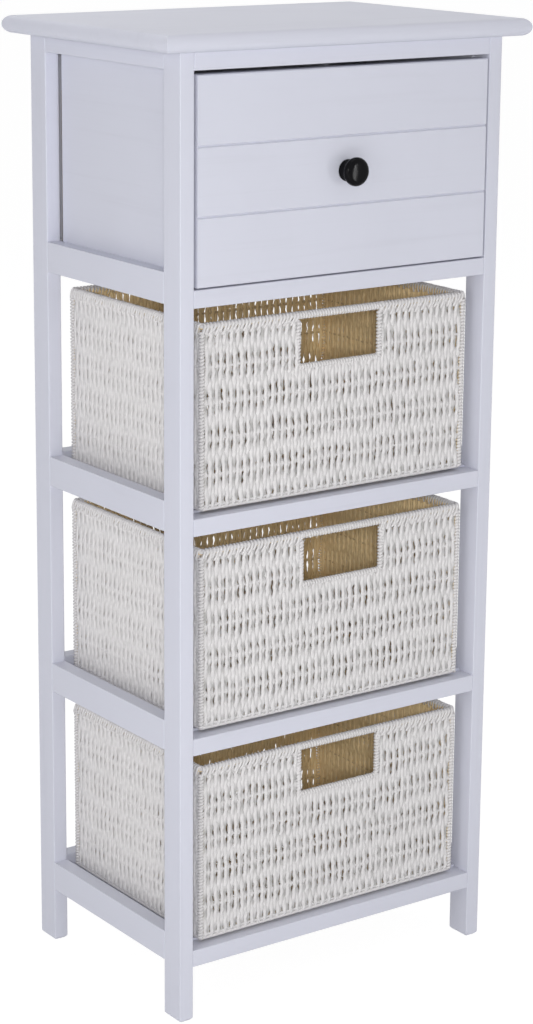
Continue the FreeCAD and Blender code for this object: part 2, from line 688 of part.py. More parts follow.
def handle_binding(name, tier, shift):
    """Rope-bound edge of the handle opening, a U under the rim."""
    body = add("PartDesign::Body", name)
    section = sketch_on(body, name + "_section", "XZ_Plane")
    half, low = "(handle_width / 2)", HANDLE_BOTTOM
    outer, foot = f"({half} + binding_width)", f"({low} - binding_width)"
    near, above = f"({half} - handle_corner)", f"({low} + handle_corner)"
    corners = [(f"-{outer}", foot), (outer, foot), (outer, WEAVE_HEIGHT), (half, WEAVE_HEIGHT),
               (half, above), (near, low), (f"-{near}", low), (f"-{half}", above),
               (f"-{half}", WEAVE_HEIGHT), (f"-{outer}", WEAVE_HEIGHT)]
    arcs = {4: (near, above, -1), 6: (f"-{near}", above, -1)}
    outline(section, corners, arcs)
    raised = pad(body, section, "rim_width", True)
    under_rim = edges_in_plane(raised, "z", value(WEAVE_HEIGHT))
    front_edges = [edge for edge in edges_in_plane(raised, "y", 0) if edge not in under_rim]
    chamfered(body, raised, front_edges, "binding_chamfer")
    return bind(place_basket(body, tier, RIM_FRONT), x=shift)


def edge_bars(name, floor):
    """Square bars along the floor's four edges and up the four corners."""
    height = f"{WEAVE_HEIGHT} - weave_thickness - 2 * wire_clearance"
    bars = []
    for side in (-1, 1):
        at_x = (f"{side} * {BAR_X} - edge_bar / 2", "edge_bar")
        at_y = (f"{BASKET_MIDDLE} + {side} * {BAR_Y} - edge_bar / 2", "edge_bar")
        bars.append(block(name + "_long_bar", both(f"{BAR_X} + edge_bar / 2"), at_y, (floor, "edge_bar")))
        bars.append(block(name + "_short_bar", at_x, (f"{BASKET_MIDDLE} - {BAR_Y}", f"2 * {BAR_Y}"),
                          (floor, "edge_bar")))
        for corner in (at_x, mirrored(at_x, -1)):
            bars.append(block(name + "_corner_bar", corner, at_y, (floor, height)))
    return bars


def floor_bars(name, floor):
    """Thin bars across the floor from front to back."""
    bars = []
    for number in range(1, FLOOR_BAR_COUNT + 1):
        x = f"{BAR_X} * ({2 * number} / {FLOOR_BAR_COUNT + 1} - 1)"
        bars.append(block(name + "_floor_bar", (f"{x} - floor_bar / 2", "floor_bar"),
                          (f"{BASKET_MIDDLE} - {BAR_Y}", f"2 * {BAR_Y}"),
                          (f"{floor} + (edge_bar - floor_bar) / 2", "floor_bar")))
    return bars


def hoop_bars(name, base, shift):
    """Hoops that the rope is woven over; the top one is cut away at the handle opening."""
    bars = []
    for number in range(1, HOOP_COUNT + 1):
        z = (f"{base} + {WEAVE_HEIGHT} * {number} / {HOOP_COUNT + 1} - hoop_bar / 2", "hoop_bar")
        front = [both(BAR_X)]
        if number == HOOP_COUNT:
            front = [between(f"-{BAR_X}", f"{shift} - {HANDLE_CUT_HALF}"),
                     between(f"{shift} + {HANDLE_CUT_HALF}", BAR_X)]
        for side, spans in ((-1, front), (1, [both(BAR_X)])):
            y = (f"{BASKET_MIDDLE} + {side} * {BAR_Y} - hoop_bar / 2", "hoop_bar")
            bars += [block(name + "_hoop", x, y, z) for x in spans]
            bars.append(block(name + "_hoop", (f"{side} * {BAR_X} - hoop_bar / 2", "hoop_bar"),
                              (f"{BASKET_MIDDLE} - {BAR_Y}", f"2 * {BAR_Y}"), z))
    return bars


def wire_frame(name, tier, shift):
    """Welded frame of square bars inside the weave: edges, floor and hoops."""
    base = basket_bottom(tier)
    floor = f"({base} + weave_thickness + wire_clearance)"
    return fused(name, edge_bars(name, floor) + floor_bars(name, floor) + hoop_bars(name, base, shift))


def build_baskets():
    """Three like baskets, each a woven shell on a wire frame with a bound rim and handle."""
    for tier, name in enumerate(TIERS):
        shift = f"handle_shift_{name}"
        piece(f"basket_{name}_weave", woven_body(f"weave_{name}", tier, shift))
        piece(f"basket_{name}_rim", rim_binding(f"rim_{name}", tier))
        piece(f"basket_{name}_handle_binding", handle_binding(f"binding_{name}", tier, shift))
        piece(f"basket_{name}_wire_frame", wire_frame(f"wires_{name}", tier, shift))


def write_pieces():
    """Check every object, then write each sub-part to its own file."""
    DOCUMENT.recompute()
    failed = [item.Name for item in DOCUMENT.Objects if {"Invalid", "Error"} & set(item.State)]
    failed += [item.Label for item in PIECES if item.Shape.isNull() or not item.Shape.isValid()]
    if failed:
        raise RuntimeError("failed objects: " + ", ".join(failed))
    os.makedirs("parts", exist_ok=True)
    for item in PIECES:
        item.Shape.exportStep(os.path.join("parts", item.Label + ".step"))
    print(len(PIECES), "pieces written")


fill_sheet()
build_frame()
build_runners()
build_drawer()
build_baskets()
write_pieces()
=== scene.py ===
"""Dresses the packed basket cabinet: painted frame, drawer, turned knob and three woven baskets."""

import json
import math

import bpy
import numpy as np
from bpy.props import FloatProperty, FloatVectorProperty, IntProperty, PointerProperty
from mathutils import Matrix, Vector


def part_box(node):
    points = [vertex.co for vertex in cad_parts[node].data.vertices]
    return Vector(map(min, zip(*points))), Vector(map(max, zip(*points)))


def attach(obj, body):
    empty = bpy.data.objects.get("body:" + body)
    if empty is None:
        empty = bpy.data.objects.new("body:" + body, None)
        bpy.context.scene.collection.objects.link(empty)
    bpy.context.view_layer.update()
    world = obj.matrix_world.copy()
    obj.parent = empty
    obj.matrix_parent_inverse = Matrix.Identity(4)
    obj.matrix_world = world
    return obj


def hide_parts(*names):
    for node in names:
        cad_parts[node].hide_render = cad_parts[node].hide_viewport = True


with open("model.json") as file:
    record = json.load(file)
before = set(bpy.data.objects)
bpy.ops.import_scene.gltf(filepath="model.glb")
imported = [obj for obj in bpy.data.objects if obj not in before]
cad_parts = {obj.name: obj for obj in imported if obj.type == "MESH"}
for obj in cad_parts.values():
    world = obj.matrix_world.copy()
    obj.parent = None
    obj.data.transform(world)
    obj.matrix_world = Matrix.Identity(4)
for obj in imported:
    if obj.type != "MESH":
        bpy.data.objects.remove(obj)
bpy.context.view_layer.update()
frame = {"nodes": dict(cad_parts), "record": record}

bl_info = {
    "name": "Basket Cabinet",
    "version": (1, 0, 0),
    "blender": (4, 5, 0),
    "location": "3D View > Sidebar > Cabinet",
    "description": "Paints a small cabinet and its drawer, and weaves its rope baskets",
    "category": "Object",
}

RECORD = frame["record"]
BODIES = RECORD["behaviour"]["bodies"]
SLOT_OF = {part["node"]: part["material_slot"] for part in RECORD["subparts"]}
TIERS = ("lower", "middle", "upper")
MM = 0.001
SCREW_ROUND = 0.25        # of a screw's edges, as a share of the wood's
HOOPS = 5                 # weave bands between the floor of a basket and its rim
# Each wall has its own hand: how far its slits open, its share of the sway, how full its ropes are
# and how far the paint went round them.
OPENNESS = {"front": 0.0, "right": 0.0, "rear": 0.36, "left": 0.0}
RELIEF = {"front": 1.0, "right": 0.45, "rear": 0.7, "left": 0.6}
FULLNESS = {"front": 1.07, "right": 1.14, "rear": 1.03, "left": 1.0}
SPRAY = {"front": 0.6, "right": -0.4, "rear": -0.4, "left": 0.5}
EDGE_SPRAY, CORE_SPRAY, HOOK_SPRAY, FLOOR_SPRAY = 0.25, 0.1, 0.3, -0.45
KNOT_REACH = 3.2 * MM     # of the knot where a rope goes behind a wire
KNOT_DRIFT = 0.9 * MM     # how far a knot lies above or below its wire
KNOT_PULL = 0.8           # share of the sway and swelling that a knot takes away
SNAP = 0.9                # how sharply a rope crosses from the front to the back
SWELL = 0.52              # how much thicker a rope is where it crosses
FLATTEN = 0.3             # and how much flatter
SLOW_DRIFT = 0.15 * MM    # of a rope to the side, in long waves
QUICK_DRIFT = 0.12 * MM   # and in short ones
DEPTH_DRIFT = 0.12 * MM   # of both waves in depth
PATCH_DRIFT = 0.06 * MM   # of whole patches of a wall
ROUGHNESS = 0.06          # unevenness of a rope's thickness
FOOT_FADE, HEAD_FADE = 6 * MM, 7 * MM    # over which sway and fullness fade at a rope's ends
FOOT_LIFT = 1.12          # of the walls' ropes above the foot of the basket, in rope radii
RIM_CORNER, HOLE_CORNER = 5 * MM, 3 * MM
HOLE_LAP = 2 * MM         # of the winding over a hand hole, past its sides
FULL_TURN = 2 * math.pi
QUARTER_TURN = math.pi / 2
ACROSS = np.array((1.0, 0.0, 0.0))
FORWARD = np.array((0.0, -1.0, 0.0))
UP = np.array((0.0, 0.0, 1.0))
BAKE_MAP = "OFBake"
LAY_MAP = "RopeLay"


def length(name, description, millimetres):
    """A size that a user would change, given in millimetres and kept in metres."""
    return FloatProperty(name=name, description=description, default=millimetres * MM,
                         min=0.0, precision=5, unit="LENGTH", subtype="DISTANCE")


def share(name, description, value):
    return FloatProperty(name=name, description=description, default=value, min=0.0, max=1.0,
                         subtype="FACTOR")


def angle(name, description, degrees):
    return FloatProperty(name=name, description=description, default=math.radians(degrees),
                         subtype="ANGLE")


def colour(name, description, value):
    return FloatVectorProperty(name=name, description=description, default=value, size=3,
                               min=0.0, max=1.0, subtype="COLOR")


def place(name, description, metres):
    return FloatVectorProperty(name=name, description=description, default=metres, size=3,
                               unit="LENGTH", subtype="TRANSLATION")


def number(name, description, value):
    return FloatProperty(name=name, description=description, default=value, min=0.0)


class CabinetFinish(bpy.types.PropertyGroup):
    """Colours and edges of the painted frame, the drawer and the knob."""

    paint: colour("Paint", "Satin white of the frame and the drawer front", (0.635, 0.645, 0.73))
    # Grain hollows and mottle darken towards this tone, and so does the painted shade along edges and
    # inside corners.
    grain_and_edge_shade: colour("Paint shade", "Paint in the hollows of the grain", (0.565, 0.57, 0.645))
    paint_roughness: share("Paint roughness", "Gloss of the paint", 0.48)
    edge_round: length("Edge round", "Sanded round on the wooden edges", 0.8)
    wood: colour("Drawer wood", "Bare pale wood of the drawer box", (0.62, 0.47, 0.31))
    wood_dark: colour("Drawer wood grain", "Late wood of the drawer box", (0.45, 0.31, 0.18))
    knob_black: colour("Knob black", "Satin black of the knob", (0.003, 0.003, 0.004))
    zinc: colour("Zinc", "Plating on the screws", (0.60, 0.61, 0.63))


class BasketWeave(bpy.types.PropertyGroup):
    """Rope, wire and colours of the baskets."""

    rope_radius: length("Rope radius", "Half the thickness of a wall rope", 2.0)
    rope_pitch: length("Rope pitch", "From one wall rope to the next", 3.7)
    wall_inset: length("Wall inset", "Middle of the weave behind the outer face", 2.7)
    sway_depth: length("Sway depth", "How far a rope goes in front of and behind a wire", 1.05)
    sway_side: length("Sway to the side", "How far a rope moves aside at a wire", 0.65)
    ring_step: length("Ring step", "Between two rings of vertices on a rope", 1.6)
    ply_depth: share("Ply depth", "Hollow between the two plies of a rope", 0.2)
    ply_lay: length("Ply lay", "Length of one twist of a rope", 9.0)
    lean: length("Lean", "How far the ropes lean over below the rim", 1.0)
    lean_height: length("Lean height", "Height over which they lean", 10.0)
    foot_bend: length("Foot bend", "Radius by which a rope turns in under the basket", 3.0)
    wire_radius: length("Wire radius", "Half the thickness of a wire", 1.3)
    wrap_rope: length("Wrap rope", "Radius of the rope wound round the edges", 1.4)
    wrap_pitch: length("Wrap pitch", "From one turn of a wrap to the next", 3.1)
    rim_core: length("Rim core", "Radius on which the rim's rope is wound", 2.6)
    hook_leg: length("Hook leg", "How far a rope comes down outside from the rim", 8.5)
    hook_slant: length("Hook slant", "How far it moves along the rim on the way", 3.0)
    corner_core: length("Corner core", "Radius on which a corner's rope is wound", 1.8)
    floor_pitch: length("Floor pitch", "From one floor rope to the next", 3.9)
    coat: colour("Rope paint", "White paint on the outside of the ropes", (0.718, 0.702, 0.704))
    # Grey that the weave is darkened towards deep between the front ropes: painted shade in the recesses.
    hollow: colour("Hollow", "Paint deep between the ropes", (0.45, 0.445, 0.435))
    kraft: colour("Bare rope", "Unpainted paper inside the baskets", (0.94, 0.735, 0.42))
    wire: colour("Wire", "Lacquered steel wire of the basket frames", (0.74, 0.57, 0.33))
    seed: IntProperty(name="Seed", description="Start of the hand-woven unevenness", default=7)


class StudioSetup(bpy.types.PropertyGroup):
    """Camera, lamps and floor."""

    camera_place: place("Camera place", "Where the camera stands", (-1.39423, -1.95557, 1.07237))
    azimuth: angle("Azimuth", "Camera direction round the cabinet", -35.475)
    elevation: angle("Elevation", "Camera height above the horizon", 13.298)
    roll: angle("Roll", "Turn about the line of sight", 0.452)
    focal: number("Focal length", "In millimetres on a 36 mm long side", 91.597)
    shift: FloatVectorProperty(name="Shift", description="Lens shift, as a share of the long side",
                               default=(0.0015, -0.072), size=2)
    ambient: number("Ambient", "Soft light from all round", 0.36)
    low_power: number("Low", "Lamp near the floor at the front left, in watts", 1.0)
    front_power: number("Front", "Small lamp behind the camera, in watts", 24.0)
    fill_power: number("Fill", "Large lamp at the left, in watts", 7.5)
    top_power: number("Top", "Large lamp overhead, in watts", 14.0)
    strip_power: number("Strip", "Narrow upright lamp at the front right, in watts", 6.0)
    rear_power: number("Rear", "Large lamp behind the cabinet, in watts", 9.0)
    floor_glow: share("Floor glow", "How far the floor is plain white to the camera", 0.84)


class Value:
    """A shader socket on which arithmetic adds Math nodes."""

    def __init__(self, tree, socket):
        self.tree, self.socket = tree, socket

    def math(self, operation, *others):
        inputs = dict(enumerate((self, *others)))
        return self.tree.node("ShaderNodeMath", {"operation": operation}, inputs)

    def __add__(self, other):
        return self.math("ADD", other)

    def __sub__(self, other):
        return self.math("SUBTRACT", other)

    def __rsub__(self, other):
        return self.tree.node("ShaderNodeMath", {"operation": "SUBTRACT"}, {0: other, 1: self})

    def __mul__(self, other):
        return self.math("MULTIPLY", other)

    __radd__, __rmul__ = __add__, __mul__

    def clamped(self):
        return self.tree.node("ShaderNodeClamp", {}, {"Value": self})

    def ramp(self, low, high):
        """0 up to low, 1 from high, smooth between them."""
        return self.tree.node("ShaderNodeMapRange", {"interpolation_type": "SMOOTHSTEP"},
                              {"Value": self, "From Min": low, "From Max": high})


class Finish:
    """The node tree of a material or of the world."""

    def __init__(self, owner):
        owner.use_nodes = True
        self.tree = owner.node_tree
        self.tree.nodes.clear()

    def node(self, kind, settings, inputs, out=0):
        """Adds one node, sets it up, feeds its sockets and gives one of its outputs."""
        made = self.tree.nodes.new(kind)
        for name, value in settings.items():
            setattr(made, name, value)
        for name, value in inputs.items():
            socket = made.inputs[name]
            if isinstance(value, Value):
                self.tree.links.new(value.socket, socket)
            elif isinstance(value, (tuple, list)) and socket.type == "RGBA":
                socket.default_value = (*value, 1.0)
            else:
                socket.default_value = value
        return Value(self, made.outputs[out]) if made.outputs else None

    def position(self):
        return self.node("ShaderNodeTexCoord", {}, {}, "Object")

    def attribute(self, name):
        return self.node("ShaderNodeAttribute", {"attribute_name": name}, {}, "Fac")

    def vector(self, operation, first, second=(0.0, 0.0, 0.0), out=0):
        return self.node("ShaderNodeVectorMath", {"operation": operation}, {0: first, 1: second}, out)

    def stretched(self, where, scale):
        return self.node("ShaderNodeMapping", {}, {"Vector": where, "Scale": scale})

    def noise(self, where, scale, detail=3.0, roughness=0.55, distortion=0.0):
        return self.node("ShaderNodeTexNoise", {}, {
            "Vector": where, "Scale": scale, "Detail": detail, "Roughness": roughness,
            "Distortion": distortion})

    def mix(self, share_of_second, first, second):
        """Mix of two colours."""
        return self.node("ShaderNodeMix", {"data_type": "RGBA"},
                         {0: share_of_second, 6: first, 7: second}, 2)

    def bump(self, height, strength, distance):
        return self.node("ShaderNodeBump", {}, {
            "Height": height, "Strength": strength, "Distance": distance})

    def surface(self, **sockets):
        named = {name.replace("_", " ").title().replace("Ior", "IOR"): value
                 for name, value in sockets.items()}
        shader = self.node("ShaderNodeBsdfPrincipled", {}, named)
        self.node("ShaderNodeOutputMaterial", {}, {"Surface": shader})


def material(name, make, *details):
    """The material of that name, made the first time that it is asked for."""
    found = bpy.data.materials.get(name)
    if found is None:
        found = bpy.data.materials.new(name)
        make(Finish(found), *details)
    return found


def along_grain(axis, along, across):
    """Scale of a pattern that is stretched along one axis."""
    return [along if n == axis else across for n in range(3)]


def darker(tone, part):
    return tuple(part * value for value in tone)


def painted_wood(finish, sizes, axis):
    """Satin paint over wood whose grain runs along one axis, with painted shade along its edges and inside
    corners, which are also a little glossier.
    """
    where = finish.position()
    grain = finish.noise(finish.stretched(where, along_grain(axis, 3.0, 95.0)), 1.0, 6.0, 0.62, 0.35)
    strokes = finish.noise(finish.stretched(where, along_grain(axis, 9.0, 700.0)), 1.0, 2.0)
    mottle = finish.noise(where, 7.0, 3.0)
    peel = finish.noise(where, 1500.0, 2.0)
    rounded = finish.node("ShaderNodeBevel", {"samples": 4}, {"Radius": 2.2 * MM})
    facing = finish.node("ShaderNodeNewGeometry", {}, {}, "Normal")
    edge = ((1 - finish.vector("DOT_PRODUCT", rounded, facing, "Value")) * 7.0).clamped()
    # The wood's own grain and brush strokes, darker in the grain's hollows.
    hollow = grain.ramp(0.52, 0.74) * 0.26 + strokes.ramp(0.5, 0.85) * 0.12
    # Grain, brush strokes and mottle are the paint's own tone. The mottled darkening along edges and
    # inside corners is painted shade.
    shade = (hollow + mottle.ramp(0.45, 0.8) * 0.2 + edge * mottle * 0.2).clamped()
    finish.surface(
        base_color=finish.mix(shade, tuple(sizes.paint), tuple(sizes.grain_and_edge_shade)),
        roughness=sizes.paint_roughness + (mottle - 0.5) * 0.16 + hollow * 0.12 - edge * 0.06,
        specular_ior_level=0.2,
        normal=finish.bump(grain * 0.7 + strokes * 0.35 + peel * 0.25, 0.16, 0.5 * MM))


def bare_wood(finish, sizes, axis):
    """Planed pale wood with growth rings stretched along one axis."""
    where = finish.position()
    warp = finish.noise(finish.stretched(where, along_grain(axis, 2.2, 26.0)), 1.0, 4.0, 0.5, 0.6)
    rings = (warp * 46.0).math("SINE") * 0.5 + 0.5
    fibre = finish.noise(finish.stretched(where, along_grain(axis, 14.0, 900.0)), 1.0, 3.0)
    tone = (rings.ramp(0.2, 1.0) * 0.5 + fibre * 0.45 - 0.1).clamped()
    finish.surface(
        base_color=finish.mix(tone, tuple(sizes.wood), tuple(sizes.wood_dark)),
        roughness=0.58 + fibre * 0.18,
        specular_ior_level=0.3,
        normal=finish.bump(fibre * 0.6 + rings * 0.4, 0.22, 0.4 * MM))


def zinc_plate(finish, sizes):
    """Bright plating with a fine spangle."""
    spangle = finish.noise(finish.position(), 420.0, 3.0)
    finish.surface(
        base_color=finish.mix(spangle, tuple(sizes.zinc), (0.44, 0.45, 0.48)),
        metallic=1.0, roughness=0.28 + spangle * 0.22,
        normal=finish.bump(spangle, 0.1, 0.2 * MM))


def turned_black(finish, sizes, centre):
    """Satin black enamel with the fine rings of turning round the knob's axis."""
    where = finish.vector("SUBTRACT", finish.position(), centre)
    across = finish.vector("MULTIPLY", where, (1.0, 0.0, 1.0))
    radius = finish.vector("LENGTH", across, out="Value")
    rings = (radius * 9000.0).math("SINE") * 0.5 + 0.5
    specks = finish.noise(where, 900.0, 3.0)
    worn = finish.noise(where, 130.0, 4.0).ramp(0.5, 0.8)
    finish.surface(
        base_color=finish.mix(worn * 0.5, tuple(sizes.knob_black), (0.006, 0.005, 0.005)),
        roughness=0.09 + specks * 0.05 + worn * 0.04,
        specular_ior_level=0.08,
        normal=finish.bump(rings * 0.6 + specks * 0.3, 0.03, 0.2 * MM))


def paper_rope(finish, weave):
    """Twisted paper rope, sprayed white from outside and bare kraft paper within, with painted shade in
    the grooves between its plies and deep in the recesses of the weave.
    """
    lay = finish.node("ShaderNodeUVMap", {"uv_map": LAY_MAP}, {})
    coat, ply, hollow = (finish.attribute(name) for name in ("coat", "ply", "hollow"))
    where = finish.position()
    fibre = finish.noise(finish.stretched(lay, (3.0, 0.42, 1.0)), 700.0, 4.0, 0.6)
    crease = finish.noise(where, 520.0, 3.0, 0.6)
    cloud = finish.noise(where, 38.0, 3.0)
    cover = (coat + (crease - 0.5) * 0.5 + (ply - 0.5) * 0.16).ramp(0.2, 0.62)
    bare = finish.mix((fibre.ramp(0.3, 0.75) * 0.55 + cloud * 0.3).clamped(),
                      tuple(weave.kraft), darker(weave.kraft, 0.9))
    # Darker in the grooves between the two plies, which is painted shade, and in random patches of crease
    # and cloud noise.
    ply_shade_and_mottle = (1 - ply) * 0.34 + crease.ramp(0.5, 0.8) * 0.22 + cloud.ramp(0.5, 0.75) * 0.16
    white = finish.mix(ply_shade_and_mottle.clamped(), tuple(weave.coat), darker(weave.coat, 0.8))
    # Deep in the recesses the white is darkened towards the recess grey: painted shade.
    white = finish.mix((hollow * (0.75 + crease * 0.5)).clamped(), white, tuple(weave.hollow))
    finish.surface(
        base_color=finish.mix(cover, bare, white),
        roughness=0.72 - cover * 0.14 + fibre * 0.12,
        specular_ior_level=0.3,
        normal=finish.bump(fibre * 0.6 + crease * 0.5, 0.4, 0.35 * MM))


def rope_finish(weave):
    return material("white_over_kraft_rope", paper_rope, weave)


def drawn_wire(finish, weave):
    """Steel wire, sprayed white with the rope where it faces out."""
    scuff = finish.noise(finish.position(), 260.0, 4.0)
    cover = (finish.attribute("coat") + (scuff - 0.5) * 0.7).ramp(0.3, 0.6)
    steel = finish.mix(scuff.ramp(0.4, 0.75), tuple(weave.wire), darker(weave.wire, 0.8))
    white = finish.mix(scuff * 0.6, tuple(weave.coat), darker(weave.coat, 0.8))
    finish.surface(
        base_color=finish.mix(cover, steel, white),
        roughness=0.42 + scuff * 0.2 + cover * 0.1,
        normal=finish.bump(scuff, 0.15, 0.2 * MM))


def grain_axis(node):
    """The axis along which a wooden piece is longest."""
    low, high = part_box(node)
    return int(np.argmax(np.array(high - low)))


def soften(node, width):
    """Rounds the sharp edges of a CAD node without touching its mesh."""
    weld = node.modifiers.new("join_faces", "WELD")
    weld.merge_threshold = 0.01 * MM
    bevel = node.modifiers.new("sanded_edges", "BEVEL")
    bevel.width, bevel.segments = width, 2
    bevel.limit_method, bevel.angle_limit = "ANGLE", math.radians(38)
    bevel.harden_normals = False
    node.modifiers.new("even_shading", "WEIGHTED_NORMAL").keep_sharp = False
    for face in node.data.polygons:
        face.use_smooth = True


def dress(names, context):
    """Gives each named CAD node its finish and its softened edges."""
    sizes = context.scene.cabinet_finish
    wooden = {"white_paint": painted_wood, "drawer_box_wood": bare_wood}
    for name in names:
        slot, node = SLOT_OF[name], frame["nodes"][name]
        if slot in wooden:
            axis = grain_axis(name)
            chosen = material(f"{slot}_{'xyz'[axis]}", wooden[slot], sizes, axis)
            soften(node, sizes.edge_round)
        else:
            chosen = material("zinc_screws", zinc_plate, sizes)
            soften(node, SCREW_ROUND * sizes.edge_round)
        node.data.materials.clear()
        node.data.materials.append(chosen)


def unit(vectors):
    return vectors / np.linalg.norm(vectors, axis=-1, keepdims=True)


def smooth(values):
    values = np.clip(values, 0.0, 1.0)
    return values * values * (3 - 2 * values)


def face_places(u, u_next, v):
    """Places on a map of the four corners of each face of a tube."""
    return np.stack((u[:, :-1], v[:, :-1], u_next[:, :-1], v[:, :-1],
                     u_next[:, 1:], v[:, 1:], u[:, 1:], v[:, 1:]), axis=-1).ravel()


class RopeWork:
    """Collects round strands and makes one mesh of them."""

    # Where the paint starts behind a strand's sides, and over how much it thickens.
    paint_reach, paint_fade = 0.55, 0.6
    # A strand has an upright strip of the bake map: its tube, with its two end caps above it.
    strip_margin, strip_width = 0.04, 0.92
    tube_foot, tube_height = 0.005, 0.965
    cap_levels, cap_height, cap_width = (0.98, 0.994), 0.004, 0.006
    lay_offset = 0.37         # metres of fibre from one strand to the next

    def __init__(self, weave):
        self.weave, self.groups = weave, []

    def add(self, paths, side, radius, outward, bias=0.0, sides=7, ply=None, start=0.0, lumps=1.0,
            flat=1.0, hollow=0.0):
        """Adds strands along paths, an array of strands, rings and coordinates.

        side is a direction across the strands, and outward the one that the paint came from.
        """
        strands, rings = paths.shape[:2]
        along = unit(np.gradient(paths, axis=1))
        side = np.broadcast_to(side, paths.shape)
        side = unit(side - along * (side * along).sum(-1, keepdims=True))
        across = np.cross(along, side)
        run = np.zeros((strands, rings))
        run[:, 1:] = np.cumsum(np.linalg.norm(np.diff(paths, axis=1), axis=2), axis=1)
        turn = np.arange(sides) * FULL_TURN / sides
        start = np.broadcast_to(start, (strands,))
        twist = np.pi * run / self.weave.ply_lay + start[:, None]
        lobe = 0.5 + 0.5 * np.cos(2 * (turn - twist[..., None]))
        depth = self.weave.ply_depth if ply is None else ply
        thick = np.broadcast_to(np.asarray(radius, float).reshape(-1, 1), (strands, rings))
        thick = (thick * lumps)[..., None] * (1 - depth + depth * lobe)
        wide = side[:, :, None] * np.cos(turn)[:, None]
        deep = across[:, :, None] * np.sin(turn)[:, None]
        flat = np.broadcast_to(flat, (strands, rings))[:, :, None, None]
        points = paths[:, :, None] + thick[..., None] * (wide + flat * deep)
        outward = np.broadcast_to(outward, paths.shape)[:, :, None]
        coat = ((wide + deep) * outward).sum(-1) + bias
        coat = smooth((coat + self.paint_reach) / self.paint_fade)
        # Painted shade in the recesses of the weave, one value per ring.
        hollow = np.broadcast_to(np.broadcast_to(hollow, (strands, rings))[..., None], coat.shape)
        self.groups.append((points, coat, lobe, hollow, run))

    def bake_places(self, shape, strip, strips):
        """Places of the tubes and of their end caps on the bake map."""
        strands, rings, sides = shape
        column, order = np.arange(sides), np.arange(strands)
        u = (strip + order[:, None, None] + self.strip_margin + self.strip_width * column / sides) / strips
        v = (self.tube_foot + self.tube_height * np.arange(rings) / (rings - 1))[None, :, None]
        u, u_next, v = np.broadcast_arrays(u, u + self.strip_width / sides / strips, v)
        spin = column / sides * FULL_TURN
        middle = (np.tile(order, 2) + strip + 0.5) / strips
        level = np.repeat(self.cap_levels, strands)
        disc = min(0.4 / strips, self.cap_width)
        caps = np.stack((middle[:, None] + disc * np.cos(spin),
                         level[:, None] + self.cap_height * np.sin(spin)), axis=-1)
        return [face_places(u, u_next, v), caps.ravel()]

    def lay_places(self, run, sides, strip):
        """Places of the tubes on the map that follows the rope's fibres, in metres."""
        girth = FULL_TURN * self.weave.rope_radius
        u = np.arange(sides) / sides * girth
        v = run[..., None] + (strip + np.arange(len(run)))[:, None, None] * self.lay_offset
        return face_places(*np.broadcast_arrays(u, u + girth / sides, v))

    def mesh(self, name):
        strips = sum(len(group[0]) for group in self.groups)
        corners, starts, bake, lays = [], [], [], []
        first = strip = loops = 0
        for places, *_, run in self.groups:
            strands, rings, sides = places.shape[:3]
            number_of = first + np.arange(strands * rings * sides).reshape(strands, rings, sides)
            following = np.roll(number_of, -1, axis=2)
            quads = np.stack((number_of[:, :-1], following[:, :-1], following[:, 1:],
                              number_of[:, 1:]), axis=-1)
            caps = np.concatenate((number_of[:, 0, ::-1], number_of[:, -1]))
            corners += [quads.ravel(), caps.ravel()]
            starts += [loops + 4 * np.arange(quads.size // 4),
                       loops + quads.size + sides * np.arange(len(caps))]
            bake += self.bake_places(number_of.shape, strip, strips)
            lays += [self.lay_places(run, sides, strip), np.zeros(2 * caps.size)]
            first += number_of.size
            loops += quads.size + caps.size
            strip += strands
        points = np.concatenate([group[0].reshape(-1, 3) for group in self.groups])
        corners, starts = np.concatenate(corners), np.concatenate(starts)
        made = bpy.data.meshes.new(name)
        made.vertices.add(len(points))
        made.vertices.foreach_set("co", points.ravel())
        made.loops.add(len(corners))
        made.loops.foreach_set("vertex_index", corners)
        made.polygons.add(len(starts))
        made.polygons.foreach_set("loop_start", starts)
        made.polygons.foreach_set("use_smooth", np.ones(len(starts), bool))
        made.update(calc_edges=True)
        for layer, places in ((BAKE_MAP, bake), (LAY_MAP, lays)):
            made.uv_layers.new(name=layer).uv.foreach_set("vector", np.concatenate(places))
        for n, layer in enumerate(("coat", "ply", "hollow"), 1):
            values = np.concatenate([group[n].ravel() for group in self.groups])
            made.attributes.new(layer, "FLOAT", "POINT").data.foreach_set("value", values)
        if made.validate():
            raise RuntimeError(f"{name} has faces that don't hold")
        return made

    def piece(self, basket, name, slot, finish, node=None):
        """Makes the object, which rides on a basket and may stand for a CAD node of it."""
        name = f"{basket.body}_{name}"
        made = bpy.data.objects.new(name, self.mesh(name))
        bpy.context.scene.collection.objects.link(made)
        made.data.materials.append(finish)
        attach(made, basket.body)
        if node:
            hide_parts(f"{basket.body}_{node}")


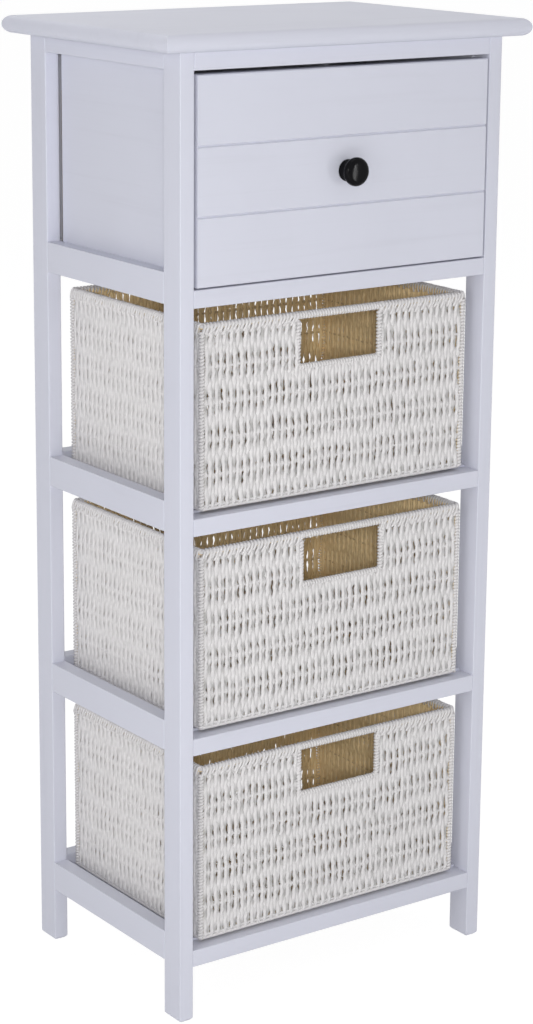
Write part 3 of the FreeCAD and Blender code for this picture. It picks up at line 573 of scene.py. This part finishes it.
class Basket:
    """Places of one basket, read from its CAD nodes."""

    binding_share = 0.375     # half a binding's width, as a share of the rim's height
    floor_lift = 0.2 * MM     # of the floor ropes above the foot of the basket

    def __init__(self, tier, weave):
        self.body = f"basket_{tier}"
        low, high = (np.array(p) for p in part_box(f"{self.body}_weave"))
        rim_low, rim_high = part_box(f"{self.body}_rim")
        bind_low, bind_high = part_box(f"{self.body}_handle_binding")
        self.base, self.top = low[2], rim_low.z
        self.rim_level, self.rim_top = (rim_low.z + rim_high.z) / 2, rim_high.z
        self.core_level = self.rim_top - weave.rim_core - weave.wrap_rope
        self.band = (self.top - self.base) / HOOPS
        inset = weave.wall_inset
        x0, x1, y0, y1 = low[0] + inset, high[0] - inset, low[1] + inset, high[1] - inset
        self.plan = [np.array(p) for p in ((x0, y0, 0), (x1, y0, 0), (x1, y1, 0), (x0, y1, 0))]
        border = (rim_high.z - rim_low.z) * self.binding_share
        self.hole_left, self.hole_right = bind_low.x + border, bind_high.x - border
        self.hole_foot = bind_low.z + border
        self.floor_rope, self.floor_sway = 0.9 * weave.rope_radius, 0.75 * weave.sway_depth
        self.floor_level = self.base + self.floor_rope + self.floor_sway + self.floor_lift

    def walls(self):
        """Each wall's name, first corner, direction, outward direction and length."""
        for n, name in enumerate(("front", "right", "rear", "left")):
            start, end = self.plan[n], self.plan[(n + 1) % 4]
            along = unit(end - start)
            yield name, start, along, np.cross(along, UP), np.linalg.norm(end - start)

    def at_hole(self, wall, at):
        """Which places along a wall lie in the hand hole."""
        name, start, along = wall[:3]
        x = start[0] + at * along[0]
        return (name == "front") & (x > self.hole_left) & (x < self.hole_right)


def ripple(at, *waves):
    """Sum of sine waves, each given by its rate and phase."""
    return sum(np.sin(at * rate + phase) for rate, phase in waves)


def rope_rings(basket, weave, end):
    """Heights of a wall rope's rings, and how far its foot is turned in at each."""
    foot = basket.base + FOOT_LIFT * weave.rope_radius + weave.foot_bend
    bend = np.linspace(0.0, QUARTER_TURN, 4)[:-1]
    levels = np.linspace(foot, end, int((end - foot) / weave.ring_step) + 1)
    height = np.concatenate((foot - weave.foot_bend * np.cos(bend), levels))
    inward = np.concatenate((weave.foot_bend * (1 - np.sin(bend)), 0 * levels))
    return height, inward


def front_and_back(basket, level, row, drawn):
    """Sway of each rope, 1 in front of a wire and -1 behind one, and the knots behind the wires."""
    sway = np.tanh(SNAP * np.cos(np.pi * (level + row) + 0.2 * drawn[:, 0:1])) / math.tanh(SNAP)
    wire = np.round(level)
    drift = KNOT_DRIFT * np.sin(7.3 * wire + 5 * drawn[:, 4:5])
    knot = np.exp(-(((level - wire) * basket.band - drift) / KNOT_REACH) ** 2) * (sway < 0)
    return sway, knot


def wall_ropes(work, basket, wall, weave, chance):
    """Upright ropes of one wall, swaying in front of and behind the wires."""
    name, start, along, outward, run = wall
    margin = weave.corner_core + weave.wrap_rope + 0.7 * weave.rope_radius
    count = int((run - 2 * margin) / weave.rope_pitch) + 1
    along_at = np.linspace(margin, run - margin, count)
    cut = basket.at_hole(wall, along_at)
    order = np.arange(count)
    draws = chance.normal(size=(count, 8))
    patches = FULL_TURN * chance.random(2)
    for short in (False, True):
        keep = cut == short
        if not keep.any():
            continue
        end = basket.hole_foot if short else basket.rim_level - weave.wrap_rope
        height, inward = rope_rings(basket, weave, end)
        level = (height - basket.base) / basket.band
        place_at, drawn = along_at[keep][:, None], draws[keep]
        sway, knot = front_and_back(basket, level, order[keep][:, None], drawn)
        # Painted shade deep in the recess where a rope goes behind a wire, except at its knot.
        hollow = RELIEF[name] ** 2 * np.clip(-1.6 * sway - 0.4, 0, 1) * (1 - knot)
        sway = sway * (1 - KNOT_PULL * knot)
        crossing = 1 - sway ** 2
        slow = ripple(level, (1.7, 3 * drawn[:, 1:2]), (2.9, 3 * drawn[:, 2:3]))
        quick = ripple(height, (610, 5 * drawn[:, 6:7]), (930, 5 * drawn[:, 7:8]))
        rough = ripple(height, (760, 5 * drawn[:, 1:2]), (1190, 5 * drawn[:, 2:3]))
        patchy = ripple(place_at, (55, patches[0] + 1.3 * level), (131, patches[1] - 0.9 * level))
        ends = smooth((height - basket.base) / FOOT_FADE) * smooth((end + MM - height) / HEAD_FADE)
        depth = weave.sway_depth * RELIEF[name] * (1 + 0.12 * drawn[:, 3:4]) * sway * (0.25 + 0.75 * ends)
        depth = depth + DEPTH_DRIFT * (slow + quick) - inward
        spread = weave.sway_side * OPENNESS[name] * (1 + 0.22 * drawn[:, 4:5]) + PATCH_DRIFT * patchy
        aside = spread * sway + SLOW_DRIFT * slow + QUICK_DRIFT * quick
        if not short:
            aside = aside + weave.lean * smooth((height - end) / weave.lean_height + 1)
        lumps = 1 + SWELL * crossing ** 2 * (1 - KNOT_PULL * knot) + ROUGHNESS * rough
        lumps = lumps * (1 + (FULLNESS[name] - 1) * ends ** 2)
        paths = start + along * (place_at + aside)[..., None] + outward * depth[..., None]
        paths[..., 2] = height
        work.add(paths, along, weave.rope_radius * (0.95 + 0.04 * drawn[:, 5]), outward,
                 SPRAY[name], start=3 * drawn[:, 6], lumps=lumps,
                 flat=1 - FLATTEN * crossing * (1 - knot), hollow=hollow)
    foot_cord = at_level(start, basket.base + weave.rope_radius)
    work.add(np.linspace(foot_cord, foot_cord + along * run, 60)[None], UP, 0.95 * weave.rope_radius,
             outward)


def wound(axis, fixed, core, pitch, loose, per_turn=9):
    """A rope path wound round an axis line, and its direction from the axis.

    fixed is a direction square to the axis, and loose where the unevenness of the turns starts.
    """
    run = np.concatenate(([0.0], np.cumsum(np.linalg.norm(np.diff(axis, axis=0), axis=1))))
    at = np.linspace(0.0, run[-1], int(run[-1] / pitch * per_turn) + 1)
    line = np.stack([np.interp(at, run, axis[:, n]) for n in range(3)], axis=-1)
    across = unit(np.cross(unit(np.gradient(line, axis=0)), fixed))
    turned = FULL_TURN * at / pitch + 0.5 * np.sin(at * 90 + loose) + 0.35 * np.sin(at * 230 + 2 * loose)
    out = np.cos(turned)[:, None] * fixed + np.sin(turned)[:, None] * across
    return line + core * out, out


def arc(centre, first, second, radius):
    """A quarter of a circle, from one direction to another."""
    swing = np.linspace(0, QUARTER_TURN, 5)[:, None]
    return centre + radius * (np.cos(swing) * first + np.sin(swing) * second)


def rim_line(basket):
    """Closed line of the rim, counter-clockwise from above."""
    parts = []
    for n in range(4):
        here, before, after = basket.plan[n], basket.plan[n - 1], basket.plan[(n + 1) % 4]
        back, ahead = unit(before - here), unit(after - here)
        parts.append(arc(here + RIM_CORNER * (back + ahead), -ahead, -back, RIM_CORNER))
    return np.concatenate(parts + [parts[0][:1]]) + UP * basket.core_level


def wrapped_edge(work, axis, fixed, core, weave, outward, chance):
    """Rope wound tightly round an edge, over a core that closes the gaps."""
    path, out = wound(axis, fixed, core, weave.wrap_pitch, chance.normal())
    work.add(path[None], out[None], weave.wrap_rope, outward, EDGE_SPRAY, ply=0.5 * weave.ply_depth)
    edge_core(work, axis, fixed, 0.94 * core, outward)


def edge_core(work, axis, fixed, radius, outward):
    """The thick cord inside a wrapped edge."""
    work.add(axis[None], fixed, radius, outward, CORE_SPRAY, sides=8, ply=0.0)


def rim_hooks(work, basket, wall, weave, chance):
    """Ropes hooked over the top wire of one wall, the outer legs slanting down over the weave."""
    start, along, outward, run = wall[1:]
    count = int(run / weave.rope_pitch)
    at = (np.arange(count) + 0.5) * run / count
    free = ~basket.at_hole(wall, at)
    drawn = chance.normal(size=(count, 4))
    leg = np.where(np.arange(count) % 2 == 0, 1.0, 0.6) * weave.hook_leg * (1 + 0.1 * drawn[:, 0])
    down, over, inside = np.linspace(1, 0, 8), np.linspace(0, math.pi, 9)[1:-1], np.linspace(0, 1, 6)
    core = weave.rim_core
    out = np.concatenate((core * (1 - 0.6 * smooth((down - 0.55) / 0.45)), core * np.cos(over),
                          -core * (1 - 0.5 * smooth((inside - 0.5) / 0.5))))
    rise = np.concatenate((0 * down, core * np.sin(over), 0 * inside))
    fall = np.concatenate((down, 0 * over, 0.7 * inside))
    shift = np.concatenate((-down, 0.2 * over / math.pi, 0.2 + 0.3 * inside))
    slant = weave.hook_slant * (1 + 0.12 * drawn[:, 1])
    paths = (start + along * (at[:, None] + slant[:, None] * shift)[..., None]
             + outward * (out * (1 + 0.05 * drawn[:, 2:3]))[..., None]
             + UP * (basket.core_level + rise - leg[:, None] * fall)[..., None])
    work.add(paths[free], along, weave.wrap_rope * (1 + 0.05 * drawn[free, 3]),
             unit(outward + 0.6 * UP), HOOK_SPRAY, ply=0.6 * weave.ply_depth, start=3 * drawn[free, 2])


def bound_rim(basket, weave, chance):
    """Ropes hooked over the rim, and rope wound round it above the hand hole."""
    work = RopeWork(weave)
    edge_core(work, rim_line(basket), UP, weave.rim_core, UP)
    for wall in basket.walls():
        rim_hooks(work, basket, wall, weave, chance)
    front, level = basket.plan[0][1], basket.core_level
    axis = np.linspace((basket.hole_left - HOLE_LAP, front, level),
                       (basket.hole_right + HOLE_LAP, front, level), 20)
    wrapped_edge(work, axis, UP, weave.rim_core, weave, unit(FORWARD + 0.6 * UP), chance)
    return work


def bound_corners(basket, weave, chance):
    """Rope wound round the four upright edges."""
    work = RopeWork(weave)
    centre = (basket.plan[0] + basket.plan[2]) / 2
    foot = basket.base + weave.wrap_rope
    for point in basket.plan:
        axis = np.linspace(at_level(point, foot), at_level(point, basket.top), 30)
        wrapped_edge(work, axis, ACROSS, weave.corner_core, weave, unit(point - centre), chance)
    return work


def bound_hole(basket, weave, chance):
    """Rope wound round the sides and the foot of the hand hole."""
    work = RopeWork(weave)
    front, turn, top = basket.plan[0][1], HOLE_CORNER, basket.top
    left, right, foot = basket.hole_left, basket.hole_right, basket.hole_foot
    axis = np.concatenate((
        np.linspace((left, front, top), (left, front, foot + turn), 12)[:-1],
        arc(np.array((left + turn, front, foot + turn)), -ACROSS, -UP, turn),
        np.linspace((left + turn, front, foot), (right - turn, front, foot), 24)[1:-1],
        arc(np.array((right - turn, front, foot + turn)), -UP, ACROSS, turn),
        np.linspace((right, front, foot + turn), (right, front, top), 12)[1:]))
    wrapped_edge(work, axis, FORWARD, weave.corner_core, weave, FORWARD, chance)
    return work


def straight_rods(work, pairs, radius, outward, chance, step=2.5 * MM):
    """Level rods from point to point, uneven from their coat of paint."""
    for first, last in pairs:
        rings = int(math.dist(first, last) / step) + 2
        drawn = chance.normal(size=(rings, 2))
        line = np.linspace(first, last, rings) + 0.3 * MM * drawn[:, :1] * UP
        work.add(line[None], UP, radius, outward, CORE_SPRAY, sides=10, ply=0.0,
                 lumps=1 + 0.14 * drawn[None, :, 1])


def at_level(point, level):
    return np.array((point[0], point[1], level))


class CabinetOperator:
    """What the operators of this file share."""

    bl_options = {"REGISTER", "UNDO"}

    def baskets(self, context):
        weave = context.scene.basket_weave
        for n, tier in enumerate(TIERS):
            yield Basket(tier, weave), weave, np.random.default_rng(weave.seed + n)


class CABINET_OT_paint_frame(CabinetOperator, bpy.types.Operator):
    """Paint the posts, rails, panels, runners and top board"""

    bl_idname = "cabinet.paint_frame"
    bl_label = "Paint Frame"

    def execute(self, context):
        dress(BODIES["cabinet"], context)
        return {"FINISHED"}


class CABINET_OT_finish_drawer(CabinetOperator, bpy.types.Operator):
    """Paint the planked drawer front and finish the bare drawer box"""

    bl_idname = "cabinet.finish_drawer"
    bl_label = "Finish Drawer"

    def execute(self, context):
        dress([name for name in BODIES["drawer"] if name != "drawer_knob"], context)
        return {"FINISHED"}


class CABINET_OT_turn_knob(CabinetOperator, bpy.types.Operator):
    """Turn the black knob"""

    bl_idname = "cabinet.turn_knob"
    bl_label = "Turn Knob"

    # Height over the drawer face and radius, both in millimetres.
    profile = ((0.0, 0.0), (0.0, 6.0), (0.0, 9.5), (0.3, 9.9), (1.2, 10.0), (2.1, 9.85), (3.1, 9.3),
               (4.5, 8.85), (6.0, 8.8), (7.6, 9.4), (9.0, 10.5), (10.2, 11.7), (11.3, 12.5),
               (12.4, 12.9), (13.6, 12.95), (14.7, 12.8), (15.8, 12.3), (16.7, 11.4), (17.3, 10.2),
               (17.61, 8.8), (17.76, 7.0), (17.87, 5.0), (17.95, 3.2), (18.0, 1.0), (18.0, 0.0))
    steps = 40

    def execute(self, context):
        low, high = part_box("drawer_knob")
        centre = Vector(((low.x + high.x) / 2, high.y, (low.z + high.z) / 2))
        turned = [FULL_TURN * n / self.steps for n in range(self.steps)]
        points = [centre + MM * Vector((r * math.cos(a), -h, r * math.sin(a)))
                  for h, r in self.profile[1:-1] for a in turned]
        points += [centre, centre - Vector((0, MM * self.profile[-1][0], 0))]
        rows, last = len(self.profile) - 2, len(points) - 1
        faces = []
        for n in range(self.steps):
            beside = (n + 1) % self.steps
            faces += [(row * self.steps + n, row * self.steps + beside,
                       (row + 1) * self.steps + beside, (row + 1) * self.steps + n)
                      for row in range(rows - 1)]
            faces += [(last - 1, beside, n),
                      (last, (rows - 1) * self.steps + n, (rows - 1) * self.steps + beside)]
        shape = bpy.data.meshes.new("knob")
        shape.from_pydata(points, [], faces)
        shape.polygons.foreach_set("use_smooth", [True] * len(faces))
        shape.update()
        knob = bpy.data.objects.new("knob", shape)
        context.scene.collection.objects.link(knob)
        knob.modifiers.new("round", "SUBSURF").levels = 1
        knob.modifiers["round"].render_levels = 2
        sizes = context.scene.cabinet_finish
        shape.materials.append(material("knob_enamel", turned_black, sizes, centre))
        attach(knob, "drawer")
        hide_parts("drawer_knob")
        return {"FINISHED"}


class CABINET_OT_weave_walls(CabinetOperator, bpy.types.Operator):
    """Weave the four rope walls of each basket"""

    bl_idname = "cabinet.weave_walls"
    bl_label = "Weave Walls"

    def execute(self, context):
        for basket, weave, chance in self.baskets(context):
            for wall in basket.walls():
                work = RopeWork(weave)
                wall_ropes(work, basket, wall, weave, chance)
                work.piece(basket, f"{wall[0]}_wall", "woven_rope", rope_finish(weave), "weave")
        return {"FINISHED"}


class CABINET_OT_lay_floors(CabinetOperator, bpy.types.Operator):
    """Weave the rope floor of each basket"""

    bl_idname = "cabinet.lay_floors"
    bl_label = "Lay Floors"

    def execute(self, context):
        for basket, weave, chance in self.baskets(context):
            work = RopeWork(weave)
            (x0, y0, _), (x1, y1, _) = basket.plan[0], basket.plan[2]
            margin = weave.foot_bend
            count = int((x1 - x0 - 2 * margin) / weave.floor_pitch) + 1
            x = np.linspace(x0 + margin, x1 - margin, count)[:, None]
            y = np.linspace(y0 + margin, y1 - margin, 50)[None]
            drawn = chance.normal(size=(count, 3))
            wave = np.cos(np.pi * ((y - y0) / basket.band + np.arange(count)[:, None])
                          + 0.15 * drawn[:, 0:1])
            level = basket.floor_level + basket.floor_sway * wave
            paths = np.stack(np.broadcast_arrays(x + 0.5 * weave.sway_side * wave, y, level), axis=-1)
            work.add(paths, ACROSS, basket.floor_rope, -UP, FLOOR_SPRAY, sides=6, start=3 * drawn[:, 1])
            work.piece(basket, "floor_mat", "woven_rope", rope_finish(weave))
        return {"FINISHED"}


class CABINET_OT_bind_edges(CabinetOperator, bpy.types.Operator):
    """Wrap the rims, corners and hand holes of the baskets with rope"""

    bl_idname = "cabinet.bind_edges"
    bl_label = "Bind Edges"

    def execute(self, context):
        for basket, weave, chance in self.baskets(context):
            for bind, name, node in ((bound_rim, "rim_wrap", "rim"), (bound_corners, "corner_wraps", None),
                                     (bound_hole, "handle_wrap", "handle_binding")):
                work = bind(basket, weave, chance)
                work.piece(basket, name, "woven_rope", rope_finish(weave), node)
        return {"FINISHED"}


class CABINET_OT_string_wires(CabinetOperator, bpy.types.Operator):
    """Set the steel wires that the ropes are woven round"""

    bl_idname = "cabinet.string_wires"
    bl_label = "String Wires"

    def execute(self, context):
        for basket, weave, chance in self.baskets(context):
            work = RopeWork(weave)
            for band in range(HOOPS):
                level = basket.base + max(band * basket.band, weave.rope_radius + weave.foot_bend)
                for name, start, along, outward, run in basket.walls():
                    first, last = at_level(start, level), at_level(start + along * run, level)
                    pairs = [(first, last)]
                    if name == "front" and level > basket.hole_foot:
                        left, right = first.copy(), first.copy()
                        left[0], right[0] = basket.hole_left, basket.hole_right
                        pairs = [(first, left), (right, last)]
                    straight_rods(work, pairs, weave.wire_radius, outward, chance)
            (x0, y0, _), (x1, y1, _) = basket.plan[0], basket.plan[2]
            level, radius = basket.floor_level, 0.7 * weave.wire_radius
            for n in range(1, int((y1 - y0) / basket.band) + 1):
                y = y0 + n * basket.band
                straight_rods(work, [((x0, y, level), (x1, y, level))], radius, -UP, chance)
            finish = material("basket_wire", drawn_wire, weave)
            work.piece(basket, "wires", "steel_wire", finish, "wire_frame")
        return {"FINISHED"}


def seen_directly(finish):
    """1 for a ray from the camera, of a reflection or through glass, and 0 for soft light."""
    camera, glossy, through = (finish.node("ShaderNodeLightPath", {}, {}, f"Is {kind} Ray")
                               for kind in ("Camera", "Glossy", "Transmission"))
    return (camera + glossy + through).clamped()


def pale_floor(finish, stage):
    """Matt pale floor that looks nearly white to the camera."""
    grain = finish.noise(finish.position(), 30.0, 2.0)
    plain = finish.node("ShaderNodeBsdfDiffuse", {}, {
        "Color": finish.mix(grain * 0.2, (0.90, 0.90, 0.90), (0.86, 0.86, 0.86))})
    glow = finish.node("ShaderNodeEmission", {}, {"Color": (1.0, 1.0, 1.0), "Strength": 1.12})
    mixed = finish.node("ShaderNodeMixShader", {}, {
        0: seen_directly(finish) * stage.floor_glow, 1: plain, 2: glow})
    finish.node("ShaderNodeOutputMaterial", {}, {"Surface": mixed})


def area_lamp(scene, name, power, size, at, aim):
    lamp = bpy.data.lights.new(name, "AREA")
    lamp.shape, lamp.energy = "RECTANGLE", power
    lamp.size, lamp.size_y = size
    made = bpy.data.objects.new(name, lamp)
    made.location, made.visible_camera = at, False
    made.rotation_euler = (Vector(aim) - Vector(at)).to_track_quat("-Z", "Y").to_euler()
    scene.collection.objects.link(made)


class CABINET_OT_set_stage(CabinetOperator, bpy.types.Operator):
    """Set up the floor, the lamps and the camera"""

    bl_idname = "cabinet.set_stage"
    bl_label = "Set Stage"

    floor_half = 40.0
    sensor = 36.0             # long side of the picture in the camera, in millimetres
    middle = (0.0, 0.0, 0.45)
    # Size, place and aim of each lamp, in metres.
    lamps = {
        "low": ((0.9, 0.3), (-0.62, -1.1, 0.2), (-0.05, -0.1, 0.2)),
        "strip": ((0.1, 0.8), (1.32, -2.26, 0.45), (0.0, -0.14, 0.77)),
        "front": ((0.25, 0.25), (-1.525, -2.14, 1.121), middle),
        "top": ((1.4, 1.2), (0.0, 0.0, 3.0), middle),
        "rear": ((1.6, 1.2), (0.5, 2.2, 2.6), middle),
        "fill": ((0.9, 1.3), (-1.8, -0.75, 0.8), middle),
    }

    def lay_floor(self, scene, stage):
        half = self.floor_half
        shape = bpy.data.meshes.new("floor")
        shape.from_pydata([(-half, -half, 0), (half, -half, 0), (half, half, 0), (-half, half, 0)], [],
                          [(0, 1, 2, 3)])
        floor = bpy.data.objects.new("floor", shape)
        scene.collection.objects.link(floor)
        shape.materials.append(material("pale_floor", pale_floor, stage))

    def light(self, scene, stage):
        """A white sky that lights softly, and the lamps."""
        scene.world = scene.world or bpy.data.worlds.new("studio")
        sky = Finish(scene.world)
        strength = seen_directly(sky) * (1 - stage.ambient) + stage.ambient
        glow = sky.node("ShaderNodeBackground", {}, {"Color": (1.0, 1.0, 1.0), "Strength": strength})
        sky.node("ShaderNodeOutputWorld", {}, {"Surface": glow})
        for name, (size, at, aim) in self.lamps.items():
            area_lamp(scene, name, getattr(stage, f"{name}_power"), size, at, aim)

    def aim_camera(self, scene, stage):
        turn, lift, roll = stage.azimuth, stage.elevation, stage.roll
        back = Vector((math.sin(turn) * math.cos(lift), -math.cos(turn) * math.cos(lift), math.sin(lift)))
        right = (-back).cross(Vector((0, 0, 1))).normalized()
        upward = right.cross(-back)
        axes = (right * math.cos(roll) + upward * math.sin(roll),
                upward * math.cos(roll) - right * math.sin(roll), back)
        lens = bpy.data.cameras.new("camera")
        lens.sensor_width, lens.lens = self.sensor, stage.focal
        lens.shift_x, lens.shift_y = stage.shift
        camera = bpy.data.objects.new("camera", lens)
        camera.matrix_world = Matrix.Translation(stage.camera_place) @ Matrix(axes).transposed().to_4x4()
        scene.collection.objects.link(camera)
        scene.camera = camera

    def execute(self, context):
        scene, stage = context.scene, context.scene.studio_setup
        self.lay_floor(scene, stage)
        self.light(scene, stage)
        self.aim_camera(scene, stage)
        scene.view_settings.view_transform = "Standard"
        return {"FINISHED"}


STEPS = (CABINET_OT_set_stage, CABINET_OT_paint_frame, CABINET_OT_finish_drawer, CABINET_OT_turn_knob,
         CABINET_OT_weave_walls, CABINET_OT_lay_floors, CABINET_OT_bind_edges, CABINET_OT_string_wires)
GROUPS = {"cabinet_finish": CabinetFinish, "basket_weave": BasketWeave, "studio_setup": StudioSetup}


class CABINET_PT_basket_cabinet(bpy.types.Panel):
    """Lists the steps and the sizes of the basket cabinet"""

    bl_idname = "CABINET_PT_basket_cabinet"
    bl_label = "Basket Cabinet"
    bl_space_type = "VIEW_3D"
    bl_region_type = "UI"
    bl_category = "Cabinet"

    def draw(self, context):
        for step in STEPS:
            self.layout.operator(step.bl_idname)
        for name, group in GROUPS.items():
            box = self.layout.box()
            box.label(text=group.__doc__)
            for field in group.__annotations__:
                box.prop(getattr(context.scene, name), field)


def register():
    for made in (*GROUPS.values(), *STEPS, CABINET_PT_basket_cabinet):
        bpy.utils.register_class(made)
    for name, group in GROUPS.items():
        setattr(bpy.types.Scene, name, PointerProperty(type=group))


def unregister():
    for name in GROUPS:
        delattr(bpy.types.Scene, name)
    for made in (CABINET_PT_basket_cabinet, *reversed(STEPS), *GROUPS.values()):
        bpy.utils.unregister_class(made)


def main():
    register()
    for step in STEPS:
        group, name = step.bl_idname.split(".")
        getattr(getattr(bpy.ops, group), name)()


if __name__ == "__main__":
    main()
